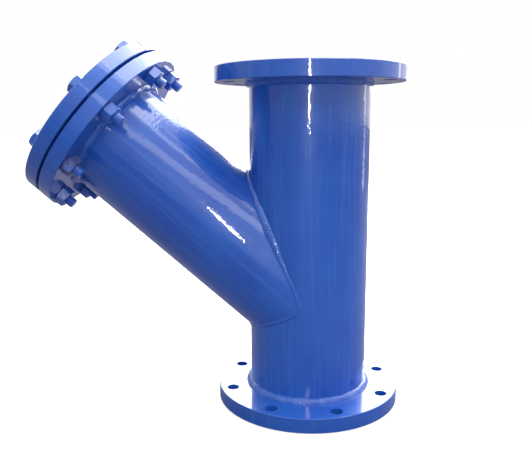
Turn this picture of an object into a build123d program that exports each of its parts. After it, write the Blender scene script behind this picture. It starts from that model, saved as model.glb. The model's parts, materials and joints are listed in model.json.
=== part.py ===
from build123d import *
import math
import os

# Y strainer for an 8 inch (DN200) steel line, welded from pipe and plate. Millimetres, +Z up.
# The run stands along Z with the inlet at the bottom. The origin is the centre of the inlet's
# raised face. The branch leaves the run towards -X and holds the screen behind a bolted cover.

# Pipe, the same size in the run and in the branch
PIPE_RADIUS = 109.55
PIPE_WALL = 8.18
PIPE_BORE = PIPE_RADIUS - PIPE_WALL
PIPE_SETBACK = 9.0

# Overall layout
FACE_TO_FACE = 622.0
BRANCH_ANGLE = 50.0
BRANCH_HEIGHT = 195.0
BRANCH_LENGTH = 507.0

# Flanges, 8 inch class 150 pattern
FLANGE_RADIUS = 171.5
FLANGE_BORE = 110.75
RIM_THICKNESS = 27.0
RAISED_FACE_RADIUS = 134.9
RAISED_FACE_HEIGHT = 1.6
FLANGE_THICKNESS = RIM_THICKNESS + RAISED_FACE_HEIGHT
BOLT_CIRCLE_RADIUS = 149.25
BOLT_HOLE_RADIUS = 11.1
BOLT_COUNT = 8
HALF_BOLT_PITCH = 180.0 / BOLT_COUNT
EDGE_BREAK = 1.0

# Welds
FILLET_LEG = 9.0
SEAL_WELD_LEG = 8.0
ROOT_GAP = 0.45
SADDLE_BEAD_RADIUS = 7.0

# Cover, its gasket and its fasteners, 3/4 inch heavy hexagon
COVER_RIM = 25.0
GASKET_THICKNESS = 1.5
GASKET_INNER_RADIUS = 111.0
GASKET_OUTER_RADIUS = 137.0
BOLT_RADIUS = 9.525
BOLT_LENGTH = 88.9
BOLT_POINT = 2.4
HEX_FLATS_RADIUS = 15.875
HEAD_HEIGHT = 12.0
NUT_HEIGHT = 18.65
NUT_BORE = 9.6

# Blow-down coupling in the middle of the cover, with its 1 inch parallel plug
COUPLING_RADIUS = 22.25
COUPLING_BORE = 16.65
COUPLING_STAND_OUT = 14.0
COUPLING_WELD_LEG = 7.0
PLUG_THREAD_RADIUS = 16.6
PLUG_THREAD_LENGTH = 18.0
PLUG_COLLAR_RADIUS = 20.0
PLUG_COLLAR_HEIGHT = 5.0
PLUG_HEX_FLATS_RADIUS = 12.0
PLUG_HEX_HEIGHT = 11.0
PLUG_WASHER_BORE = 16.9
PLUG_WASHER_THICKNESS = 2.0

# Screen: a perforated cage with a wire cloth liner between two end rings
MESH_INNER_RADIUS = 84.6
MESH_THICKNESS = 0.8
CAGE_INNER_RADIUS = MESH_INNER_RADIUS + MESH_THICKNESS
CAGE_THICKNESS = 1.6
CAGE_RADIUS = CAGE_INNER_RADIUS + CAGE_THICKNESS
CAGE_START = 0.5
CAGE_END = 484.0
HOLE_RADIUS = 8.0
HOLES_ROUND_CAGE = 18
CUTTER_REACH = 4.0
HOLE_ROWS = 15
HOLE_ROW_PITCH = 29.0
FIRST_HOLE_ROW = 37.0
RING_RADIUS = CAGE_RADIUS + 2.0
INNER_RING_LENGTH = 15.0
OUTER_RING_START = 466.0
OUTER_RING_END = 504.5
LIP_RADIUS = 100.8
LIP_THICKNESS = 5.0
HANDLE_RADIUS = 4.0
HANDLE_DEPTH = 9.0

# Seat across the run that the screen's inner end stands in
SEAT_PLATE_THICKNESS = 6.0
SEAT_HOLE_RADIUS = 84.0
SEAT_RING_BORE = RING_RADIUS + 0.5
SEAT_RING_RADIUS = SEAT_RING_BORE + 5.0
SEAT_RING_HEIGHT = 16.0
BRANCH_OPENING_RADIUS = 98.0

# Planes: +Z of a run plane points up the run, and +Z of a branch plane points out of the branch
tilt = math.radians(BRANCH_ANGLE)
branch_base = Plane(
    origin=(0, 0, BRANCH_HEIGHT),
    x_dir=(math.cos(tilt), 0, math.sin(tilt)),
    z_dir=(-math.sin(tilt), 0, math.cos(tilt)),
)
run_base = Plane.XY
outlet_top = Plane.XY.offset(FACE_TO_FACE)

# Stations along the branch, measured from where the two pipe axes meet
flange_back = BRANCH_LENGTH - FLANGE_THICKNESS
gasket_top = BRANCH_LENGTH + GASKET_THICKNESS
cover_top = gasket_top + RAISED_FACE_HEIGHT + COVER_RIM
coupling_top = cover_top + COUPLING_STAND_OUT
plug_seat = coupling_top + PLUG_WASHER_THICKNESS

# Face planes look from a flange's raised face towards its own pipe
inlet_face = run_base
outlet_face = Plane(origin=outlet_top.origin, x_dir=(1, 0, 0), z_dir=(0, 0, -1))
branch_face = Plane(
    origin=branch_base.offset(BRANCH_LENGTH).origin,
    x_dir=branch_base.x_dir,
    z_dir=-branch_base.z_dir,
)

os.makedirs("parts", exist_ok=True)


def save(piece, name):
    """Labels a finished piece and writes it as one STEP file."""
    piece.part.label = name
    export_step(piece.part, f"parts/{name}.step")


def make_ring(base, inner, outer, start, end):
    """A plain ring round the plane's normal, from one station to another."""
    with BuildPart() as ring:
        with BuildSketch(base.offset(start)):
            Circle(outer)
            Circle(inner, mode=Mode.SUBTRACT)
        extrude(amount=end - start)
    return ring


def make_flange(face):
    """A slip-on flange whose raised face lies in the given plane."""
    with BuildPart() as flange:
        with BuildSketch(face.offset(RAISED_FACE_HEIGHT)):
            Circle(FLANGE_RADIUS)
        extrude(amount=RIM_THICKNESS)
        rim_edges = flange.edges().filter_by(GeomType.CIRCLE)
        chamfer(rim_edges, EDGE_BREAK)
        with BuildSketch(face):
            Circle(RAISED_FACE_RADIUS)
        extrude(amount=RAISED_FACE_HEIGHT)
        with BuildSketch(face):
            Circle(FLANGE_BORE)
            with PolarLocations(BOLT_CIRCLE_RADIUS, BOLT_COUNT, start_angle=HALF_BOLT_PITCH):
                Circle(BOLT_HOLE_RADIUS)
        extrude(amount=FLANGE_THICKNESS, mode=Mode.SUBTRACT)
    return flange


def make_fillet_weld(face):
    """The weld ring in the corner between a flange's back and its pipe."""
    with BuildPart() as weld:
        with BuildSketch(face.offset(FLANGE_THICKNESS)):
            Circle(PIPE_RADIUS + FILLET_LEG)
        extrude(amount=FILLET_LEG, taper=45)
        with BuildSketch(face.offset(FLANGE_THICKNESS)):
            Circle(PIPE_RADIUS)
        extrude(amount=FILLET_LEG, mode=Mode.SUBTRACT)
    return weld


def make_seal_weld(face):
    """The weld ring between the pipe's end and the flange's bore, below the raised face."""
    with BuildPart() as weld:
        with BuildSketch(face.offset(PIPE_SETBACK)):
            Circle(FLANGE_BORE)
        extrude(amount=-SEAL_WELD_LEG)
        with BuildSketch(face.offset(PIPE_SETBACK)):
            Circle(FLANGE_BORE - SEAL_WELD_LEG)
        extrude(amount=-SEAL_WELD_LEG, taper=-45, mode=Mode.SUBTRACT)
    return weld


# Run pipe, with the hole that the branch opens into
with BuildPart() as run_pipe:
    with BuildSketch(run_base.offset(PIPE_SETBACK)):
        Circle(PIPE_RADIUS)
        Circle(PIPE_BORE, mode=Mode.SUBTRACT)
    extrude(amount=FACE_TO_FACE - 2 * PIPE_SETBACK)
    with BuildSketch(branch_base):
        Circle(BRANCH_OPENING_RADIUS)
    extrude(amount=BRANCH_LENGTH / 2, mode=Mode.SUBTRACT)
save(run_pipe, "run_pipe")

# Branch pipe, cut at its foot to sit on the outside of the run
with BuildPart() as branch_pipe:
    with BuildSketch(branch_base):
        Circle(PIPE_RADIUS)
        Circle(PIPE_BORE, mode=Mode.SUBTRACT)
    extrude(amount=BRANCH_LENGTH - PIPE_SETBACK)
    with BuildSketch(run_base):
        Circle(PIPE_RADIUS + ROOT_GAP)
    extrude(amount=FACE_TO_FACE, mode=Mode.SUBTRACT)
save(branch_pipe, "branch_pipe")

# The three flanges and the weld rings that hold them
for place, face in (("inlet", inlet_face), ("outlet", outlet_face), ("branch", branch_face)):
    save(make_flange(face), f"{place}_flange")
    save(make_fillet_weld(face), f"{place}_flange_weld")
    save(make_seal_weld(face), f"{place}_seal_weld")

# Saddle weld. Pipes of one size meet in two half ellipses that lie in the planes halfway
# between the two axes: a long one over the crotch and a short one under the heel.
half_tilt = tilt / 2
crotch_plane = Plane(
    origin=branch_base.origin,
    x_dir=(-math.sin(half_tilt), 0, math.cos(half_tilt)),
    z_dir=(-math.cos(half_tilt), 0, -math.sin(half_tilt)),
)
heel_plane = Plane(
    origin=branch_base.origin,
    x_dir=(-math.cos(half_tilt), 0, -math.sin(half_tilt)),
    z_dir=(math.sin(half_tilt), 0, -math.cos(half_tilt)),
)
seams = (
    (crotch_plane, PIPE_RADIUS / math.sin(half_tilt)),
    (heel_plane, PIPE_RADIUS / math.cos(half_tilt)),
)
with BuildPart() as branch_saddle_weld:
    for seam_plane, seam_reach in seams:
        with BuildLine(seam_plane) as seam:
            EllipticalCenterArc((0, 0), seam_reach, PIPE_RADIUS, start_angle=-90, arc_size=180)
        with BuildSketch(Plane(origin=seam.line @ 0, z_dir=seam.line % 0)):
            Circle(SADDLE_BEAD_RADIUS)
        sweep(path=seam.line)
    with BuildSketch(run_base):
        Circle(PIPE_RADIUS)
    extrude(amount=FACE_TO_FACE, mode=Mode.SUBTRACT)
    with BuildSketch(branch_base.offset(-BRANCH_LENGTH / 2)):
        Circle(PIPE_RADIUS)
    extrude(amount=BRANCH_LENGTH, mode=Mode.SUBTRACT)
save(branch_saddle_weld, "branch_saddle_weld")

# Seat plate: an ellipse that closes the run's bore square to the branch, with a round hole
with BuildPart() as seat_plate:
    with BuildSketch(run_base):
        Circle(PIPE_BORE)
    extrude(amount=FACE_TO_FACE)
    with BuildSketch(branch_base.offset(-SEAT_PLATE_THICKNESS)):
        Circle(FLANGE_RADIUS)
    extrude(amount=SEAT_PLATE_THICKNESS, mode=Mode.INTERSECT)
    with BuildSketch(branch_base):
        Circle(SEAT_HOLE_RADIUS)
    extrude(amount=-SEAT_PLATE_THICKNESS, mode=Mode.SUBTRACT)
save(seat_plate, "seat_plate")

# Seat ring on the plate, round the screen's inner end
seat_ring = make_ring(branch_base, SEAT_RING_BORE, SEAT_RING_RADIUS, 0, SEAT_RING_HEIGHT)
save(seat_ring, "seat_ring")

# Screen cage with its staggered perforation, cut one row at a time
with BuildPart() as screen_cage:
    with BuildSketch(branch_base.offset(CAGE_START)):
        Circle(CAGE_RADIUS)
        Circle(CAGE_INNER_RADIUS, mode=Mode.SUBTRACT)
    extrude(amount=CAGE_END - CAGE_START)
    for row in range(HOLE_ROWS):
        row_plane = branch_base.offset(FIRST_HOLE_ROW + row * HOLE_ROW_PITCH)
        row_axis = Axis(row_plane.origin, row_plane.z_dir)
        turns = [(step + row % 2 / 2) * 360 / HOLES_ROUND_CAGE for step in range(HOLES_ROUND_CAGE)]
        spokes = [row_plane.x_dir.rotate(row_axis, turn) for turn in turns]
        hole_planes = [Plane(origin=row_plane.origin, z_dir=spoke) for spoke in spokes]
        with BuildSketch(*[plane.offset(CAGE_RADIUS - CUTTER_REACH) for plane in hole_planes]):
            Circle(HOLE_RADIUS)
        extrude(amount=2 * CUTTER_REACH, mode=Mode.SUBTRACT)
save(screen_cage, "screen_cage")

# Wire cloth liner inside the cage
screen_mesh = make_ring(branch_base, MESH_INNER_RADIUS, CAGE_INNER_RADIUS, CAGE_START, CAGE_END)
save(screen_mesh, "screen_mesh")

# End rings of the screen: a band at the seat, and a band with a lip that centres it in the branch
screen_inner_ring = make_ring(branch_base, CAGE_RADIUS, RING_RADIUS, CAGE_START, INNER_RING_LENGTH)
save(screen_inner_ring, "screen_inner_ring")
with BuildPart() as screen_outer_ring:
    with BuildSketch(branch_base.offset(OUTER_RING_START)):
        Circle(RING_RADIUS)
    extrude(amount=OUTER_RING_END - OUTER_RING_START)
    with BuildSketch(branch_base.offset(OUTER_RING_END - LIP_THICKNESS)):
        Circle(LIP_RADIUS)
    extrude(amount=LIP_THICKNESS)
    with BuildSketch(branch_base.offset(OUTER_RING_START)):
        Circle(CAGE_RADIUS)
    extrude(amount=OUTER_RING_END - OUTER_RING_START, mode=Mode.SUBTRACT)
save(screen_outer_ring, "screen_outer_ring")

# Pull bar welded across the mouth of the screen
bar_half_length = math.sqrt(CAGE_RADIUS**2 - HANDLE_RADIUS**2) - 0.02
bar_plane = Plane(origin=branch_base.offset(OUTER_RING_END - HANDLE_DEPTH).origin, z_dir=(0, 1, 0))
with BuildPart() as screen_handle:
    with BuildSketch(bar_plane):
        Circle(HANDLE_RADIUS)
    extrude(amount=bar_half_length, both=True)
save(screen_handle, "screen_handle")

# Gasket between the two raised faces
cover_gasket = make_ring(
    branch_base, GASKET_INNER_RADIUS, GASKET_OUTER_RADIUS, BRANCH_LENGTH, gasket_top
)
save(cover_gasket, "cover_gasket")

# Cover plate
with BuildPart() as cover:
    with BuildSketch(branch_base.offset(gasket_top + RAISED_FACE_HEIGHT)):
        Circle(FLANGE_RADIUS)
    extrude(amount=COVER_RIM)
    chamfer(cover.edges().filter_by(GeomType.CIRCLE), EDGE_BREAK)
    with BuildSketch(branch_base.offset(gasket_top)):
        Circle(RAISED_FACE_RADIUS)
    extrude(amount=RAISED_FACE_HEIGHT)
    with BuildSketch(branch_base.offset(gasket_top)):
        Circle(COUPLING_RADIUS)
        with PolarLocations(BOLT_CIRCLE_RADIUS, BOLT_COUNT, start_angle=HALF_BOLT_PITCH):
            Circle(BOLT_HOLE_RADIUS)
    extrude(amount=RAISED_FACE_HEIGHT + COVER_RIM, mode=Mode.SUBTRACT)
save(cover, "cover")

# Blow-down coupling through the cover, and its weld
drain_coupling = make_ring(branch_base, COUPLING_BORE, COUPLING_RADIUS, gasket_top, coupling_top)
save(drain_coupling, "drain_coupling")
with BuildPart() as drain_coupling_weld:
    with BuildSketch(branch_base.offset(cover_top)):
        Circle(COUPLING_RADIUS + COUPLING_WELD_LEG)
    extrude(amount=COUPLING_WELD_LEG, taper=45)
    with BuildSketch(branch_base.offset(cover_top)):
        Circle(COUPLING_RADIUS)
    extrude(amount=COUPLING_WELD_LEG, mode=Mode.SUBTRACT)
save(drain_coupling_weld, "drain_coupling_weld")

# Sealing washer and plug
drain_plug_washer = make_ring(
    branch_base, PLUG_WASHER_BORE, PLUG_COLLAR_RADIUS, coupling_top, plug_seat
)
save(drain_plug_washer, "drain_plug_washer")
with BuildPart() as drain_plug:
    with BuildSketch(branch_base.offset(plug_seat)):
        Circle(PLUG_COLLAR_RADIUS)
    extrude(amount=PLUG_COLLAR_HEIGHT)
    with BuildSketch(branch_base.offset(plug_seat + PLUG_COLLAR_HEIGHT)):
        RegularPolygon(PLUG_HEX_FLATS_RADIUS, 6, major_radius=False)
    extrude(amount=PLUG_HEX_HEIGHT)
    with BuildSketch(branch_base.offset(plug_seat)):
        Circle(PLUG_THREAD_RADIUS)
    extrude(amount=-(PLUG_THREAD_LENGTH + PLUG_WASHER_THICKNESS))
save(drain_plug, "drain_plug")

# Cover bolts: heads on the cover, points on the pipe side
with BuildPart() as cover_bolts:
    with BuildSketch(branch_base.offset(cover_top)):
        with PolarLocations(BOLT_CIRCLE_RADIUS, BOLT_COUNT, start_angle=HALF_BOLT_PITCH):
            RegularPolygon(HEX_FLATS_RADIUS, 6, major_radius=False)
    extrude(amount=HEAD_HEIGHT)
    with BuildSketch(branch_base.offset(cover_top)):
        with PolarLocations(BOLT_CIRCLE_RADIUS, BOLT_COUNT, start_angle=HALF_BOLT_PITCH):
            Circle(BOLT_RADIUS)
    extrude(amount=-BOLT_LENGTH)
    branch_axis = Axis(branch_base.origin, branch_base.z_dir)
    rims = cover_bolts.edges().filter_by(GeomType.CIRCLE).group_by(branch_axis)
    chamfer(rims[0], BOLT_POINT)
save(cover_bolts, "cover_bolts")

# Cover nuts, against the back of the branch flange
with BuildPart() as cover_nuts:
    with BuildSketch(branch_base.offset(flange_back)):
        with PolarLocations(BOLT_CIRCLE_RADIUS, BOLT_COUNT, start_angle=HALF_BOLT_PITCH):
            RegularPolygon(HEX_FLATS_RADIUS, 6, major_radius=False)
            Circle(NUT_BORE, mode=Mode.SUBTRACT)
    extrude(amount=-NUT_HEIGHT)
save(cover_nuts, "cover_nuts")
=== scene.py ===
import json
import math
import random

import bpy
from mathutils import Matrix, Vector, noise


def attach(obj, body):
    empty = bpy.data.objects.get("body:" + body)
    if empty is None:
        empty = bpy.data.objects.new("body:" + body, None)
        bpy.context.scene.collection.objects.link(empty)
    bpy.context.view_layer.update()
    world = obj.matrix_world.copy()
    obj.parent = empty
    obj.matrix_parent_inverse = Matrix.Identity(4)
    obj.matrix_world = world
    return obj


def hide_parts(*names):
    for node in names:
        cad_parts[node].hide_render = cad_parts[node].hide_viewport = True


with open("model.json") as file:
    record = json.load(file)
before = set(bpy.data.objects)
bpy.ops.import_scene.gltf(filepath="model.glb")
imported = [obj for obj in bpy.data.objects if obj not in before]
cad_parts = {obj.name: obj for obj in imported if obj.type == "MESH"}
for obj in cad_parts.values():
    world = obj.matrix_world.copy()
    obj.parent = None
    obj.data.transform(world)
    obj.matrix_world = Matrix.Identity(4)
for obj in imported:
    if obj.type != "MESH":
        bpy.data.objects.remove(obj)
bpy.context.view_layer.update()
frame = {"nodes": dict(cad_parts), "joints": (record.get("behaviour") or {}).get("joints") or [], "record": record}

# A welded Y strainer in glossy blue enamel. Metres, in the frame of the CAD model: the run stands
# along Z and the branch leaves it towards -X.

MM = 0.001
PICTURE_WIDTH = 532
SENSOR_WIDTH = 36.0

# A Mix node's first input, second input and output for each kind of value
MIX_SOCKETS = {"FLOAT": (2, 3, 0), "VECTOR": (4, 5, 1), "RGBA": (6, 7, 2)}

nodes = frame["nodes"]
joints = {joint["name"]: joint for joint in frame["joints"]}


# ---------------------------------------------------------------- lines that the pieces turn round


class Line:
    """A pipe's axis, with two directions square to it."""

    def __init__(self, origin, along, side):
        self.origin = Vector(origin)
        self.along = Vector(along).normalized()
        self.side = Vector(side).normalized()
        self.front = self.along.cross(self.side)

    def at(self, station, radius=0.0, angle=0.0):
        """The point at a station along the line, at a radius and an angle round it."""
        return self.origin + self.along * station + self.spoke(angle) * radius

    def spoke(self, angle):
        return self.side * math.cos(angle) + self.front * math.sin(angle)

    def stations(self, node):
        """The lowest and highest station of a CAD node."""
        along = [(vertex.co - self.origin).dot(self.along) for vertex in nodes[node].data.vertices]
        return min(along), max(along)

    def radii(self, node):
        """The smallest and largest radius of a CAD node round this line."""
        found = []
        for vertex in nodes[node].data.vertices:
            arm = vertex.co - self.origin
            found.append((arm - self.along * arm.dot(self.along)).length)
        return min(found), max(found)


plug_hinge = joints["plug_turn"]
branch_out = Vector(plug_hinge["axis"])
plug_place = Vector(plug_hinge["pos_m"])
branch_foot = plug_place - branch_out * (plug_place.x / branch_out.x)
run = Line((0, 0, 0), (0, 0, 1), (1, 0, 0))
branch = Line(branch_foot, branch_out, Vector((0, 1, 0)).cross(branch_out))

run_length = run.stations("outlet_flange")[1]
pipe_radius = run.radii("run_pipe")[1]
branch_inside, branch_outside = branch.radii("branch_pipe")
pipe_bore = run.radii("inlet_flange_weld")[0] - (branch_outside - branch_inside)
flange_face = branch.stations("branch_flange")[1]
cover_top = branch.stations("cover")[1]
inlet = Line((0, 0, 0), (0, 0, 1), (1, 0, 0))
outlet = Line((0, 0, run_length), (0, 0, -1), (1, 0, 0))
branch_end = Line(branch.at(flange_face), -branch.along, branch.side)

inlet_bolts = next(mount for mount in frame["record"]["mounts"] if mount["name"] == "inlet_bolts")
bolt_circle = inlet_bolts["dims"]["pcd_mm"] * MM / 2
bolt_count = inlet_bolts["dims"]["count"]
bolt_angles = [(index + 0.5) * math.tau / bolt_count for index in range(bolt_count)]


# ---------------------------------------------------------------- mesh helpers


def make_piece(name, verts, faces, body, material, stands_for=(), crease=math.radians(35)):
    """A finished mesh object that rides on a body."""
    mesh = bpy.data.meshes.new(name)
    mesh.from_pydata([tuple(point) for point in verts], [], faces)
    mesh.validate()
    mesh.polygons.foreach_set("use_smooth", [True] * len(mesh.polygons))
    mesh.set_sharp_from_angle(angle=crease)
    mesh.update()
    piece = bpy.data.objects.new(name, mesh)
    bpy.context.scene.collection.objects.link(piece)
    mesh.materials.append(material)
    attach(piece, body)
    if stands_for:
        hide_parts(*stands_for)
    return piece


def add_rings(verts, faces, rings, closed_round=True, closed_along=False, caps=False):
    """Joins rings of points, each as long as the next, into a skin of quads."""
    first = len(verts)
    count = len(rings[0])
    for ring in rings:
        verts.extend(ring)
    rows = len(rings) if closed_along else len(rings) - 1
    columns = count if closed_round else count - 1
    for row in range(rows):
        here = first + row * count
        there = first + (row + 1) % len(rings) * count
        for column in range(columns):
            other = (column + 1) % count
            faces.append((here + column, here + other, there + other, there + column))
    if caps:
        faces.append(tuple(first + column for column in reversed(range(count))))
        last = first + (len(rings) - 1) * count
        faces.append(tuple(last + column for column in range(count)))


def set_material(node, material):
    """Gives a CAD node its finish."""
    slots = nodes[node].data.materials
    slots.clear()
    slots.append(material)


# ---------------------------------------------------------------- material helpers


class Shader:
    """A material's nodes, with short ways to add the usual ones."""

    def __init__(self, name):
        self.material = bpy.data.materials.new(name)
        self.material.use_nodes = True
        self.tree = self.material.node_tree
        self.main = self.tree.nodes["Principled BSDF"]
        self.place = self.add("ShaderNodeTexCoord").outputs["Object"]

    def add(self, kind, **settings):
        node = self.tree.nodes.new(kind)
        for key, value in settings.items():
            setattr(node, key, value)
        return node

    def link(self, source, target):
        self.tree.links.new(source, target)

    def feed(self, socket, value):
        """Links an output, or sets a plain value."""
        if isinstance(value, bpy.types.NodeSocket):
            self.link(value, socket)
        else:
            socket.default_value = value

    def set(self, name, value):
        """Feeds a socket of the material's main shader."""
        self.feed(self.main.inputs[name], value)

    def math(self, operation, first, second=0.0, third=0.0):
        node = self.add("ShaderNodeMath", operation=operation)
        for socket, value in zip(node.inputs, (first, second, third)):
            self.feed(socket, value)
        return node.outputs[0]

    def vector_math(self, operation, first, second=(0, 0, 0)):
        node = self.add("ShaderNodeVectorMath", operation=operation)
        self.feed(node.inputs[0], first)
        self.feed(node.inputs[1], second)
        return node.outputs["Value" if operation in ("DOT_PRODUCT", "LENGTH") else "Vector"]

    def noise(self, scale, detail=2.0, roughness=0.5, vector=None):
        node = self.add("ShaderNodeTexNoise")
        self.link(vector or self.place, node.inputs["Vector"])
        node.inputs["Scale"].default_value = scale
        node.inputs["Detail"].default_value = detail
        node.inputs["Roughness"].default_value = roughness
        return node.outputs["Fac"]

    def step(self, value, low, high, from_low=0.0, to_high=1.0):
        """Maps a value from low..high to another range, clamped and smoothed."""
        node = self.add("ShaderNodeMapRange", interpolation_type="SMOOTHSTEP")
        self.feed(node.inputs["Value"], value)
        node.inputs["From Min"].default_value = low
        node.inputs["From Max"].default_value = high
        node.inputs["To Min"].default_value = from_low
        node.inputs["To Max"].default_value = to_high
        return node.outputs["Result"]

    def mix(self, share, first, second, kind="RGBA"):
        """Blends two values of a kind, from the first at 0 to the second at 1."""
        node = self.add("ShaderNodeMix", data_type=kind)
        low, high, result = MIX_SOCKETS[kind]
        self.feed(node.inputs[0], share)
        self.feed(node.inputs[low], first)
        self.feed(node.inputs[high], second)
        return node.outputs[result]

    def bump(self, height, distance, strength=1.0, under=None):
        node = self.add("ShaderNodeBump")
        node.inputs["Strength"].default_value = strength
        node.inputs["Distance"].default_value = distance
        self.link(height, node.inputs["Height"])
        if under is not None:
            self.link(under, node.inputs["Normal"])
        return node.outputs["Normal"]

    def without_station(self, line, share):
        """A point's station on a line, and its arm from the line's origin less a share of that."""
        arm = self.vector_math("SUBTRACT", self.place, tuple(line.origin))
        station = self.vector_math("DOT_PRODUCT", arm, tuple(line.along))
        foot = self.add("ShaderNodeVectorMath", operation="SCALE")
        foot.inputs[0].default_value = tuple(line.along * share)
        self.link(station, foot.inputs["Scale"])
        return station, self.vector_math("SUBTRACT", arm, foot.outputs["Vector"])

    def station_and_radius(self, line):
        """How far along a line, and how far out from it, a point of the piece lies."""
        station, spoke = self.without_station(line, 1.0)
        return station, self.vector_math("LENGTH", spoke)

    def stretched(self, line, amount):
        """Coordinates that are squeezed along a line, so that noise on them runs in streaks."""
        return self.without_station(line, 1 - 1 / amount)[1]


# ---------------------------------------------------------------- materials

ENAMEL_BLUE = (0.015, 0.093, 0.440, 1)
ENAMEL_DEEP = (0.012, 0.073, 0.400, 1)
# Paler enamel for the streaks: partly brush marks, partly painted reflection
ENAMEL_BRUSH_AND_SHEEN_STREAK = (0.025, 0.128, 0.485, 1)
RUST_DARK = (0.050, 0.024, 0.020, 1)
RUST_LIGHT = (0.15, 0.072, 0.052, 1)
MACHINED = (0.31, 0.305, 0.295, 1)
MACHINED_DARK = (0.22, 0.215, 0.205, 1)
PLATE_RELIEF = 0.3
RAISED_FACE_HEIGHT = 1.6 * MM
MILL_SCALE = (0.060, 0.056, 0.056, 1)
GROOVE_PITCH = 0.8 * MM


def enamel_layers(shader, line, relief=1.0):
    """Colour, roughness and relief of brushed-out enamel over pipe or plate. Its pale streaks along the line are
    partly brush marks and partly painted reflection streaks.
    """
    broad = shader.noise(7.0, 3.0, 0.55)
    wide_brush_and_sheen_streaks = shader.noise(45.0, 2.0, 0.5, shader.stretched(line, 16.0))
    fine_brush_and_sheen_streaks = shader.noise(150.0, 3.0, 0.6, shader.stretched(line, 30.0))
    colour = shader.mix(shader.step(broad, 0.38, 0.66), ENAMEL_BLUE, ENAMEL_DEEP)
    # Pale streaks along the line: partly brush marks in the enamel, partly painted reflection streaks
    colour = shader.mix(shader.step(wide_brush_and_sheen_streaks, 0.50, 0.72, 0.0, 0.5), colour, ENAMEL_BRUSH_AND_SHEEN_STREAK)
    colour = shader.mix(shader.step(fine_brush_and_sheen_streaks, 0.50, 0.68, 0.0, 0.55 * relief), colour, ENAMEL_BRUSH_AND_SHEEN_STREAK)
    roughness = shader.step(shader.noise(38.0, 4.0, 0.6), 0.3, 0.75, 0.34, 0.48)
    sags = shader.noise(24.0, 2.0, 0.5, shader.stretched(line, 3.0))
    peel = shader.noise(150.0, 2.0, 0.5)
    nibs = shader.add("ShaderNodeTexVoronoi", feature="F1")
    shader.link(shader.place, nibs.inputs["Vector"])
    nibs.inputs["Scale"].default_value = 30.0
    nib_relief = shader.step(nibs.outputs["Distance"], 0.0, 0.025, 1.0, 0.0)
    normal = shader.bump(sags, 0.8 * MM * relief)
    normal = shader.bump(fine_brush_and_sheen_streaks, 0.10 * MM * relief, 1.0, normal)
    normal = shader.bump(peel, 0.22 * MM * relief, 1.0, normal)
    normal = shader.bump(nib_relief, 0.22 * MM, 0.8, normal)
    return colour, roughness, normal


def painted(name, line, relief=1.0):
    """Blue enamel whose streaks, partly brush marks and partly painted reflections, run along a line, and the
    layers that it is made of.
    """
    shader = Shader(name)
    colour, roughness, normal = enamel_layers(shader, line, relief)
    shader.set("Base Color", colour)
    shader.set("Roughness", roughness)
    shader.set("Normal", normal)
    shader.set("Coat Normal", normal)
    shader.set("Coat Weight", 1.0)
    shader.set("Coat Roughness", 0.05)
    shader.set("Coat IOR", 1.5)
    shader.set("Specular IOR Level", 0.25)
    return shader, colour, roughness, normal


def painted_weld():
    """Enamel over spatter and uneven ripples, which break up the light."""
    shader = painted("weld_enamel", run)[0]
    spatter = shader.noise(240.0, 3.0, 0.6)
    lumps = shader.noise(48.0, 2.0, 0.5)
    normal = shader.bump(spatter, 0.5 * MM, 1.0, shader.bump(lumps, 3.0 * MM))
    shader.set("Normal", normal)
    shader.set("Coat Normal", normal)
    return shader.material


def bare_steel_layers(shader):
    """Mill scale with a bloom of rust, as inside an unlined pipe."""
    bloom = shader.step(shader.noise(24.0, 6.0, 0.65), 0.50, 0.68)
    fine = shader.step(shader.noise(190.0, 4.0, 0.7), 0.35, 0.7)
    rust = shader.mix(fine, RUST_DARK, RUST_LIGHT)
    colour = shader.mix(shader.math("MULTIPLY", bloom, 0.75), MILL_SCALE, rust)
    roughness = shader.mix(bloom, 0.42, 0.85, "FLOAT")
    return colour, roughness, bloom


def painted_pipe(name, line, bore, wall):
    """Enamel outside and bare steel inside, split halfway through the wall."""
    shader, paint, paint_roughness, _ = painted(name, line)
    radius = shader.station_and_radius(line)[1]
    outside = shader.step(radius, bore + 0.35 * wall, bore + 0.65 * wall)
    steel, steel_roughness, bloom = bare_steel_layers(shader)
    shader.set("Base Color", shader.mix(outside, steel, paint))
    shader.set("Roughness", shader.mix(outside, steel_roughness, paint_roughness, "FLOAT"))
    shader.set("Coat Weight", outside)
    inside = shader.math("SUBTRACT", 1.0, outside)
    shader.set("Metallic", shader.math("MULTIPLY", inside, 0.5))
    return shader.material


def painted_flange(name, face, bored=True):
    """Enamel, with the raised face turned to a record-groove finish and any bore left bare."""
    shader, paint, paint_roughness, normal = painted(name, face, PLATE_RELIEF)
    station, radius = shader.station_and_radius(face)
    bare = shader.step(station, 0.35 * RAISED_FACE_HEIGHT, 0.65 * RAISED_FACE_HEIGHT, 1.0, 0.0)
    if bored:
        in_bore = shader.step(radius, pipe_radius + 1.0 * MM, pipe_radius + 1.6 * MM, 1.0, 0.0)
        bare = shader.math("MAXIMUM", bare, in_bore)
    tone = shader.step(shader.noise(60.0, 3.0, 0.6), 0.3, 0.7)
    metal = shader.mix(tone, MACHINED, MACHINED_DARK)
    groove = shader.math("SINE", shader.math("MULTIPLY", radius, math.tau / GROOVE_PITCH))
    grooves = shader.bump(groove, 0.00005, 0.8)
    shader.set("Base Color", shader.mix(bare, paint, metal))
    shader.set("Roughness", shader.mix(bare, paint_roughness, 0.55, "FLOAT"))
    shader.set("Metallic", bare)
    shader.set("Coat Weight", shader.math("SUBTRACT", 1.0, bare))
    shader.set("Normal", shader.mix(bare, normal, grooves, "VECTOR"))
    return shader.material


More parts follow.
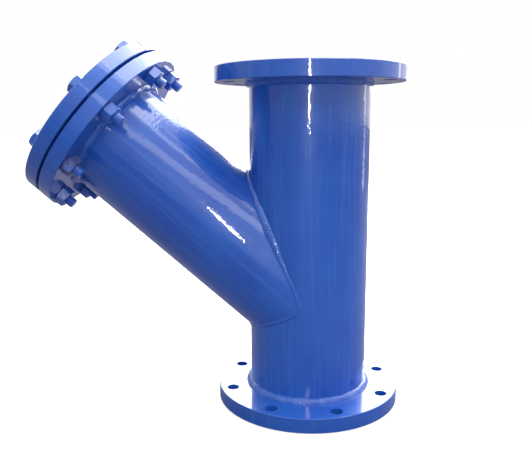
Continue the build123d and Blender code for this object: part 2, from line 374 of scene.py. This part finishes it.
def painted_bolting():
    """Enamel brushed over nuts and bolts, rusting where a piece says so."""
    shader = Shader("painted_bolting")
    colour, roughness, normal = enamel_layers(shader, branch)
    rust_share = shader.add("ShaderNodeAttribute", attribute_name="rust").outputs["Fac"]
    blotch = shader.noise(150.0, 5.0, 0.65)
    rusted = shader.step(shader.math("ADD", blotch, rust_share), 0.92, 1.12)
    fine = shader.step(shader.noise(700.0, 3.0, 0.7), 0.35, 0.7)
    rust = shader.mix(fine, RUST_DARK, RUST_LIGHT)
    pitted = shader.bump(shader.noise(900.0, 4.0, 0.7), 0.0002, 0.6, normal)
    shader.set("Base Color", shader.mix(rusted, colour, rust))
    shader.set("Roughness", shader.mix(rusted, roughness, 0.8, "FLOAT"))
    shader.set("Coat Weight", shader.math("SUBTRACT", 1.0, rusted))
    shader.set("Normal", pitted)
    shader.set("Coat Roughness", 0.08)
    return shader.material


def stainless(name, line, roughness_low=0.22, roughness_high=0.36):
    """Rolled stainless sheet with grain round a line."""
    shader = Shader(name)
    grain = shader.noise(420.0, 4.0, 0.6, shader.stretched(line, 0.06))
    cloud = shader.noise(22.0, 3.0, 0.5)
    colour = shader.mix(shader.step(cloud, 0.35, 0.7), (0.60, 0.59, 0.57, 1), (0.47, 0.465, 0.455, 1))
    shader.set("Base Color", colour)
    shader.set("Roughness", shader.step(grain, 0.3, 0.7, roughness_low, roughness_high))
    shader.set("Normal", shader.bump(grain, 0.00003, 0.5))
    shader.set("Metallic", 1.0)
    return shader.material


def bare_steel():
    shader = Shader("bare_steel")
    colour, roughness, bloom = bare_steel_layers(shader)
    shader.set("Base Color", shader.mix(0.45, colour, MACHINED))
    shader.set("Roughness", roughness)
    shader.set("Normal", shader.bump(bloom, 0.0002, 0.5))
    shader.set("Metallic", 0.7)
    return shader.material


def zinc_plate():
    """Bright zinc with a faint passivation tint."""
    shader = Shader("zinc_plated_steel")
    cloud = shader.step(shader.noise(90.0, 4.0, 0.6), 0.3, 0.72)
    shader.set("Base Color", shader.mix(cloud, (0.66, 0.68, 0.70, 1), (0.55, 0.53, 0.42, 1)))
    shader.set("Roughness", shader.step(cloud, 0.0, 1.0, 0.22, 0.42))
    shader.set("Normal", shader.bump(shader.noise(500.0, 3.0, 0.6), 0.00004, 0.6))
    shader.set("Metallic", 1.0)
    return shader.material


def dark_sheet(name, light, dark, roughness):
    """Compressed fibre or rubber, with flecks."""
    shader = Shader(name)
    flecks = shader.step(shader.noise(900.0, 3.0, 0.7), 0.52, 0.72)
    shader.set("Base Color", shader.mix(flecks, dark, light))
    shader.set("Roughness", shader.step(flecks, 0.0, 1.0, roughness, roughness - 0.15))
    shader.set("Normal", shader.bump(flecks, 0.00006, 0.6))
    return shader.material


run_paint = painted_pipe("run_enamel", run, pipe_bore, pipe_radius - pipe_bore)
branch_paint = painted_pipe("branch_enamel", branch, pipe_bore, pipe_radius - pipe_bore)
weld_paint = painted_weld()
bolting_paint = painted_bolting()
sheet_steel = stainless("stainless_sheet", branch)
wire_steel = stainless("stainless_wire_cloth", branch, 0.28, 0.45)
seat_steel = bare_steel()
plug_zinc = zinc_plate()
gasket_fibre = dark_sheet("gasket_fibre", (0.06, 0.065, 0.07, 1), (0.018, 0.019, 0.022, 1), 0.85)
washer_rubber = dark_sheet("sealing_rubber", (0.04, 0.04, 0.04, 1), (0.015, 0.015, 0.015, 1), 0.6)

cover_face = Line(branch.at(branch.stations("cover")[0]), branch.along, branch.side)
set_material("run_pipe", run_paint)
set_material("branch_pipe", branch_paint)
set_material("inlet_flange", painted_flange("inlet_flange_enamel", inlet))
set_material("outlet_flange", painted_flange("outlet_flange_enamel", outlet))
set_material("branch_flange", painted_flange("branch_flange_enamel", branch_end))
set_material("cover", painted_flange("cover_enamel", cover_face, bored=False))
set_material("drain_coupling", painted("coupling_enamel", branch)[0].material)
set_material("drain_plug_washer", washer_rubber)
set_material("cover_gasket", gasket_fibre)
set_material("seat_plate", seat_steel)
set_material("seat_ring", seat_steel)
for sheet_node in ("screen_cage", "screen_inner_ring", "screen_outer_ring", "screen_handle"):
    set_material(sheet_node, sheet_steel)


# ---------------------------------------------------------------- weld beads


RIPPLE_HEIGHT = 0.8 * MM

# Each bead's leg, crown and ripple pitch
FILLET_BEAD = (8.6 * MM, 1.6 * MM, 4.6 * MM)
SEAL_BEAD = (7.6 * MM, -0.3 * MM, 5.2 * MM)
COUPLING_BEAD = (6.6 * MM, 1.2 * MM, 3.6 * MM)
SADDLE_BEAD = (8.4 * MM, 1.8 * MM, 5.0 * MM)


def weld_bead(name, corner, bead, body, material, stands_for, seed, fullness=None):
    """A closed bead of laid-over ripples in a corner.

    corner is a list of (point, direction up one side, direction up the other side, outward), bead
    is its (leg, crown, ripple pitch), and fullness gives a point's share of the full bead.
    """
    leg, crown, ripple_pitch = bead
    across_steps = 13
    lengths = [0.0]
    for index in range(len(corner)):
        following = corner[(index + 1) % len(corner)][0]
        lengths.append(lengths[-1] + (following - corner[index][0]).length)
    ripples = round(lengths[-1] / ripple_pitch)
    verts, faces, rings = [], [], []
    for index, (point, first, second, outward) in enumerate(corner):
        travel = lengths[index] / lengths[-1]
        sway = noise.noise(Vector((travel * 31.0, seed, 0.0)))
        wander = noise.noise(Vector((travel * 47.0, seed, 5.0)))
        full = fullness(point) if fullness else 1.0
        start = point + first * leg * full * (1 + 0.14 * sway)
        end = point + second * leg * full * (1 + 0.14 * wander)
        middle = (start + end) / 2 + outward * crown * full * (1 + 0.2 * sway)
        ring = [point - outward * leg * full * 0.25]
        for step in range(across_steps):
            share = step / (across_steps - 1)
            bow = 4 * share * (1 - share)
            lag = travel * ripples + 0.75 * bow + 0.35 * wander
            crest = abs(math.sin(math.pi * lag)) ** 0.7
            flat = start.lerp(end, share)
            spine = flat + (middle - (start + end) / 2) * bow
            ripple = RIPPLE_HEIGHT * full * (1 + 0.8 * wander)
            ring.append(spine + outward * (crest - 0.5) * ripple * bow**0.6)
        rings.append(ring)
    add_rings(verts, faces, rings, closed_round=True, closed_along=True)
    return make_piece(name, verts, faces, body, material, stands_for, math.radians(70))


def round_corner(line, station, radius, first, second, steps):
    """The corner that a circle round a line follows; first and second give (along, out) directions."""
    corner = []
    for index in range(steps):
        angle = index * math.tau / steps
        spoke = line.spoke(angle)
        one = line.along * first[0] + spoke * first[1]
        two = line.along * second[0] + spoke * second[1]
        corner.append((line.at(station, radius, angle), one, two, (one + two).normalized()))
    return corner


flange_thickness = run.stations("inlet_flange")[1]
seal_high = run.stations("inlet_seal_weld")[1]
seal_radius = run.radii("inlet_seal_weld")[1]
for place, face, seed in (("inlet", inlet, 1.0), ("outlet", outlet, 2.0), ("branch", branch_end, 3.0)):
    fillet = round_corner(face, flange_thickness, pipe_radius, (1, 0), (0, 1), 1440)
    weld_bead(
        f"{place}_fillet_bead", fillet, FILLET_BEAD, "welded_body", weld_paint,
        (f"{place}_flange_weld",), seed,
    )
    seal = round_corner(face, seal_high, seal_radius, (-1, 0), (0, -1), 1080)
    weld_bead(
        f"{place}_seal_bead", seal, SEAL_BEAD, "welded_body", seat_steel,
        (f"{place}_seal_weld",), seed + 10,
    )

coupling_radius = branch.radii("drain_coupling")[1]
coupling_corner = round_corner(branch, cover_top, coupling_radius, (1, 0), (0, 1), 480)
weld_bead(
    "coupling_bead", coupling_corner, COUPLING_BEAD, "cover", weld_paint,
    ("drain_coupling_weld",), 21.0,
)


def saddle_corner(steps, rounding):
    """The seam where the branch meets the run, evenly stepped, with its two turns rounded off."""
    tilt = branch.along.angle(run.along)
    fine = 40 * steps
    seam = []
    for index in range(fine):
        angle = index * math.tau / fine
        reach = math.sqrt(math.cos(angle) ** 2 + rounding**2)
        station = pipe_radius * (math.cos(tilt) * math.cos(angle) + reach) / math.sin(tilt)
        seam.append((branch.at(station, pipe_radius, angle), angle))
    lengths = [0.0]
    for index in range(1, fine):
        lengths.append(lengths[-1] + (seam[index][0] - seam[index - 1][0]).length)
    total = lengths[-1] + (seam[0][0] - seam[-1][0]).length
    even, cursor = [], 0
    for index in range(steps):
        wanted = total * index / steps
        while cursor + 1 < fine and lengths[cursor + 1] < wanted:
            cursor += 1
        even.append(seam[cursor])
    corner = []
    for index, (point, angle) in enumerate(even):
        heading = (even[(index + 1) % steps][0] - even[index - 1][0]).normalized()
        off_branch = branch.spoke(angle)
        off_run = Vector((point.x, point.y, 0)).normalized()
        up_run = heading.cross(off_run).normalized()
        up_branch = off_branch.cross(heading).normalized()
        corner.append((point, up_run, up_branch, (off_run + off_branch).normalized()))
    return corner


saddle = saddle_corner(1500, 0.10)
saddle_heights = [point.z for point, *_ in saddle]
heel, crotch = min(saddle_heights), max(saddle_heights)


def saddle_fullness(point):
    """A heavy bead in the tight crotch, ground down towards the open heel."""
    climb = (point.z - heel) / (crotch - heel)
    ease = min(1.0, max(0.0, (climb - 0.35) / 0.35))
    return 0.42 + 0.58 * ease * ease * (3 - 2 * ease)


weld_bead(
    "branch_saddle_bead", saddle, SADDLE_BEAD, "welded_body", weld_paint,
    ("branch_saddle_weld",), 31.0, saddle_fullness,
)


# ---------------------------------------------------------------- bolting


def hexagon_radius(angle, flats):
    """Distance from a hexagon's centre to its side in a direction."""
    sector = math.pi / 3
    return flats / math.cos((angle + sector / 2) % sector - sector / 2)


def hexagon_rings(line, low, high, flats, turn, chamfer_low, chamfer_high):
    """Outer rings of a hexagon whose corners are turned off by a 30 degree cone at either end."""
    steps = 60
    corner = flats / math.cos(math.pi / 6)
    rise = (corner - flats * 0.96) * math.tan(math.radians(30))
    shares = (0.0, 0.2, 0.4, 0.6, 0.8, 1.0)
    levels = [(low + share * rise, share) for share in shares] if chamfer_low else [(low, 1.0)]
    tops = [(high - share * rise, share) for share in reversed(shares)] if chamfer_high else [(high, 1.0)]
    rings = []
    for station, share in levels + tops:
        cone = flats * 0.96 + share * rise / math.tan(math.radians(30))
        ring = []
        for index in range(steps):
            angle = index * math.tau / steps
            radius = min(hexagon_radius(angle, flats), cone)
            ring.append(line.at(station, radius, angle + turn))
        rings.append(ring)
    return rings


def circle(line, station, radius, turn=0.0, steps=60):
    return [line.at(station, radius, index * math.tau / steps + turn) for index in range(steps)]


def thread_rings(line, low, high, crest, root, pitch, turn, taper):
    """Rings of a helical thread, which climbs one pitch a turn and fades in over a taper."""
    steps = 60
    rows = max(2, round((high - low) / (pitch / 8)))
    rings = []
    for row in range(rows + 1):
        station = low + (high - low) * row / rows
        fade = min(1.0, (station - low) / taper)
        ring = []
        for index in range(steps):
            angle = index * math.tau / steps
            phase = (station / pitch - index / steps) % 1.0
            tooth = min(1.0, max(0.0, 1.75 - abs(phase - 0.5) * 4.2))
            radius = root + (crest - root) * tooth
            radius = min(radius, root + (crest - root) * (0.15 + 0.85 * fade))
            ring.append(line.at(station, radius, angle + turn))
        rings.append(ring)
    return rings


def spread_attribute(piece, name, values):
    attribute = piece.data.attributes.new(name, "FLOAT", "POINT")
    attribute.data.foreach_set("value", values)


nut_low, nut_high = branch.stations("cover_nuts")
bolt_low, bolt_high = branch.stations("cover_bolts")

# 3/4 inch heavy hexagon bolting with ten threads to the inch; hex_flats is half the width over
# the flats
hex_flats = 15.875 * MM
bolt_radius = 9.525 * MM
thread_crest = bolt_radius - 0.05 * MM
washer_face = hex_flats * 0.93
washer_step = 0.5 * MM
nut_chamfer = 0.9 * MM
nut_bore = 9.6 * MM
thread_pitch = 2.54 * MM
thread_root = 8.35 * MM
thread_length = 46 * MM
bolt_point = 2.4 * MM

# How far each nut has rusted, by its place round the cover, and how far its bolt has beside it
RUST_OF_NUT = (0.05, 0.12, 0.30, 0.10, 0.22, 0.50, 0.15, 0.08)
BOLT_RUST_SHARE = 0.7


def bolt_line(angle):
    return Line(branch.at(0, bolt_circle, angle), branch.along, branch.spoke(angle))


def cover_bolts():
    verts, faces, rust = [], [], []
    chance = random.Random(7)
    for index, angle in enumerate(bolt_angles):
        line = bolt_line(angle)
        turn = chance.uniform(0, math.pi / 3)
        begun = len(verts)
        thread_end = bolt_low + thread_length
        rings = [circle(line, bolt_low, bolt_radius - bolt_point)]
        rings += thread_rings(
            line, bolt_low + 0.3 * MM, thread_end, thread_crest, thread_root, thread_pitch, turn, 2.6 * MM
        )
        rings.append(circle(line, thread_end + 1.5 * MM, thread_crest))
        rings.append(circle(line, cover_top - 0.1 * MM, thread_crest))
        rings.append(circle(line, cover_top, washer_face))
        rings.append(circle(line, cover_top + washer_step, washer_face))
        rings += hexagon_rings(line, cover_top + washer_step, bolt_high, hex_flats, turn, False, True)
        rings.append(circle(line, bolt_high, hex_flats * 0.80))
        rings.append(circle(line, bolt_high - 0.35 * MM, hex_flats * 0.74))
        add_rings(verts, faces, rings, caps=True)
        rust += [RUST_OF_NUT[index] * BOLT_RUST_SHARE] * (len(verts) - begun)
    piece = make_piece(
        "cover_bolt_set", verts, faces, "cover_bolts", bolting_paint, ("cover_bolts",)
    )
    spread_attribute(piece, "rust", rust)


def cover_nuts():
    verts, faces, rust = [], [], []
    chance = random.Random(11)
    for index, angle in enumerate(bolt_angles):
        line = bolt_line(angle)
        turn = chance.uniform(0, math.pi / 3)
        begun = len(verts)
        rings = [circle(line, nut_low + nut_chamfer, nut_bore)]
        rings.append(circle(line, nut_low, nut_bore + nut_chamfer))
        rings += hexagon_rings(line, nut_low, nut_high - washer_step, hex_flats, turn, True, True)
        rings.append(circle(line, nut_high - washer_step, washer_face))
        rings.append(circle(line, nut_high, washer_face))
        rings.append(circle(line, nut_high, nut_bore + nut_chamfer))
        rings.append(circle(line, nut_high - nut_chamfer, nut_bore))
        add_rings(verts, faces, rings, closed_along=True)
        rust += [RUST_OF_NUT[index]] * (len(verts) - begun)
    piece = make_piece(
        "cover_nut_set", verts, faces, "cover_nuts", bolting_paint, ("cover_nuts",)
    )
    spread_attribute(piece, "rust", rust)


cover_bolts()
cover_nuts()


# Keeps the plug's collar and its washer off one shared plane
SEAT_GAP = 0.05 * MM


def drain_plug():
    """Hexagon plug with a collar and a 1 inch parallel pipe thread."""
    low, high = branch.stations("drain_plug")
    seat = branch.stations("drain_plug_washer")[1] + SEAT_GAP
    collar = branch.radii("drain_plug")[1]
    crest, root, neck = 16.5 * MM, 15.1 * MM, 15.2 * MM
    pitch = 2.309 * MM
    verts, faces = [], []
    rings = [circle(branch, low, 13.6 * MM)]
    rings += thread_rings(
        branch, low + 0.2 * MM, seat - 2.6 * MM, crest, root, pitch, 0.4, 2.4 * MM
    )
    rings.append(circle(branch, seat - 2.2 * MM, neck))
    rings.append(circle(branch, seat, neck))
    rings.append(circle(branch, seat, collar - 0.5 * MM))
    rings.append(circle(branch, seat + 0.5 * MM, collar))
    rings.append(circle(branch, seat + 4.3 * MM, collar))
    rings.append(circle(branch, seat + 5.0 * MM, collar - 0.8 * MM))
    rings += hexagon_rings(branch, seat + 5.0 * MM, high, 12.0 * MM, 0.25, False, True)
    rings.append(circle(branch, high, 9.4 * MM))
    rings.append(circle(branch, high - 0.3 * MM, 8.9 * MM))
    add_rings(verts, faces, rings, caps=True)
    make_piece(
        "threaded_drain_plug", verts, faces, "drain_plug", plug_zinc, ("drain_plug",)
    )


drain_plug()


# ---------------------------------------------------------------- wire cloth


def wire_cloth():
    """Plain woven wire: straight wires and hoops that pass over and under each other."""
    low, high = branch.stations("screen_mesh")
    inner, outer = branch.radii("screen_mesh")
    middle = (inner + outer) / 2
    wire = 0.26 * MM
    weave = (outer - inner) / 2 - wire
    straight_count = 96
    hoop_count = 86
    low += 1.0 * MM
    high -= 1.0 * MM
    verts, faces = [], []

    def wire_ring(centre, one, two):
        return [centre + one * wire, centre + two * wire, centre - one * wire, centre - two * wire]

    for straight in range(straight_count):
        angle = straight * math.tau / straight_count
        spoke = branch.spoke(angle)
        tangent = branch.along.cross(spoke)
        rings = []
        for hoop in range(hoop_count):
            station = low + (high - low) * hoop / (hoop_count - 1)
            side = weave if (straight + hoop) % 2 else -weave
            rings.append(wire_ring(branch.at(station, middle + side, angle), spoke, tangent))
        add_rings(verts, faces, rings, caps=True)
    for hoop in range(hoop_count):
        station = low + (high - low) * hoop / (hoop_count - 1)
        rings = []
        for straight in range(straight_count):
            angle = straight * math.tau / straight_count
            side = -weave if (straight + hoop) % 2 else weave
            centre = branch.at(station, middle + side, angle)
            rings.append(wire_ring(centre, branch.spoke(angle), branch.along))
        add_rings(verts, faces, rings, closed_along=True)
    make_piece(
        "woven_wire_cloth", verts, faces, "screen", wire_steel, ("screen_mesh",)
    )


wire_cloth()


# ---------------------------------------------------------------- floor, light and camera


def floor():
    """Pale to the eye, greyer in the enamel's reflections, as a studio sweep in front of dark walls."""
    shader = Shader("pale_floor")
    shade = shader.step(shader.noise(3.0, 3.0, 0.5), 0.3, 0.7)
    pale = shader.mix(shade, (0.86, 0.86, 0.86, 1), (0.83, 0.83, 0.83, 1))
    seen = shader.add("ShaderNodeLightPath").outputs["Is Camera Ray"]
    shader.set("Base Color", shader.mix(seen, (0.14, 0.14, 0.18, 1), pale))
    shader.set("Roughness", 0.8)
    shader.set("Specular IOR Level", 0.1)
    shader.set("Emission Color", (1, 1, 1, 1))
    shader.set("Emission Strength", shader.math("MULTIPLY", seen, 0.5))
    mesh = bpy.data.meshes.new("floor")
    half = 30.0
    corners = [(-half, -half, 0), (half, -half, 0), (half, half, 0), (-half, half, 0)]
    mesh.from_pydata(corners, [], [(0, 1, 2, 3)])
    mesh.materials.append(shader.material)
    piece = bpy.data.objects.new("floor", mesh)
    bpy.context.scene.collection.objects.link(piece)


floor()


def area_light(name, place, target, size, radiance, colour=(1, 1, 1)):
    """A flat rectangular light of a given radiance."""
    data = bpy.data.lights.new(name, "AREA")
    data.shape = "RECTANGLE"
    data.size, data.size_y = size
    data.energy = radiance * math.pi * size[0] * size[1]
    data.color = colour
    lamp = bpy.data.objects.new(name, data)
    lamp.location = place
    lamp.rotation_mode = "QUATERNION"
    lamp.rotation_quaternion = (Vector(target) - Vector(place)).to_track_quat("-Z", "Y")
    bpy.context.scene.collection.objects.link(lamp)


def studio():
    """A pale room, brighter above and behind the strainer and dim towards the camera."""
    world = bpy.data.worlds.new("studio")
    bpy.context.scene.world = world
    world.use_nodes = True
    tree = world.node_tree
    background = tree.nodes["Background"]
    background.inputs["Color"].default_value = (1, 1, 1, 1)
    direction = tree.nodes.new("ShaderNodeTexCoord").outputs["Generated"]
    bright = tree.nodes.new("ShaderNodeVectorMath")
    bright.operation = "DOT_PRODUCT"
    bright.inputs[1].default_value = (0.30, 0.45, 0.84)
    tree.links.new(direction, bright.inputs[0])
    spread = tree.nodes.new("ShaderNodeMapRange")
    spread.inputs["From Min"].default_value = -0.5
    spread.inputs["From Max"].default_value = 0.9
    spread.inputs["To Min"].default_value = 0.40
    spread.inputs["To Max"].default_value = 1.5
    tree.links.new(bright.outputs["Value"], spread.inputs["Value"])
    seen = tree.nodes.new("ShaderNodeLightPath").outputs["Is Camera Ray"]
    strength = tree.nodes.new("ShaderNodeMix")
    tree.links.new(seen, strength.inputs[0])
    tree.links.new(spread.outputs["Result"], strength.inputs[2])
    strength.inputs[3].default_value = 1.0
    tree.links.new(strength.outputs[0], background.inputs["Strength"])
    middle = (-0.15, 0.0, 0.33)
    area_light("back_door", (0.55, 3.3, 2.0), middle, (3.3, 1.75), 7.0)
    area_light("back_panel", (0.3, 3.3, 0.95), middle, (1.4, 0.5), 7.0)
    area_light("skylight", (1.3, 2.0, 3.0), middle, (2.6, 1.5), 3.0)
    area_light("ceiling_left", (0.42, 0.55, 2.6), (0.42, 0.55, 0.0), (0.8, 2.7), 6.0)
    area_light("window_right", (2.6, 1.9, 1.0), middle, (0.28, 2.0), 3.0, (1.0, 0.90, 0.93))
    area_light("ceiling_front", (1.2, -2.4, 2.5), middle, (2.8, 0.6), 2.6)
    area_light("ceiling_strip", (1.5, -0.95, 2.7), (1.5, -0.95, 0.0), (3.0, 0.30), 3.0)
    area_light("flash", (0.047, -1.15, 0.600), middle, (0.015, 0.20), 360.0)


studio()


def camera():
    """Stands a little below the outlet flange and looks slightly down and to the left."""
    data = bpy.data.cameras.new("camera")
    data.sensor_width = SENSOR_WIDTH
    focal_length = 616.5
    yaw, pitch, roll = (math.radians(angle) for angle in (-6.38, 10.66, -0.30))
    place = Vector((47.4, -1142.3, 530.1)) * MM
    forward = Vector((math.sin(yaw) * math.cos(pitch), math.cos(yaw) * math.cos(pitch), -math.sin(pitch)))
    level = Vector((math.cos(yaw), -math.sin(yaw), 0.0))
    rise = level.cross(forward)
    right = level * math.cos(roll) + rise * math.sin(roll)
    top = rise * math.cos(roll) - level * math.sin(roll)
    data.lens = focal_length / PICTURE_WIDTH * SENSOR_WIDTH
    data.clip_start = 0.05
    data.clip_end = 200.0
    piece = bpy.data.objects.new("camera", data)
    rotation = Matrix((right, top, -forward)).transposed().to_4x4()
    piece.matrix_world = Matrix.Translation(place) @ rotation
    bpy.context.scene.collection.objects.link(piece)
    bpy.context.scene.camera = piece


camera()
bpy.context.scene.view_settings.view_transform = "Standard"
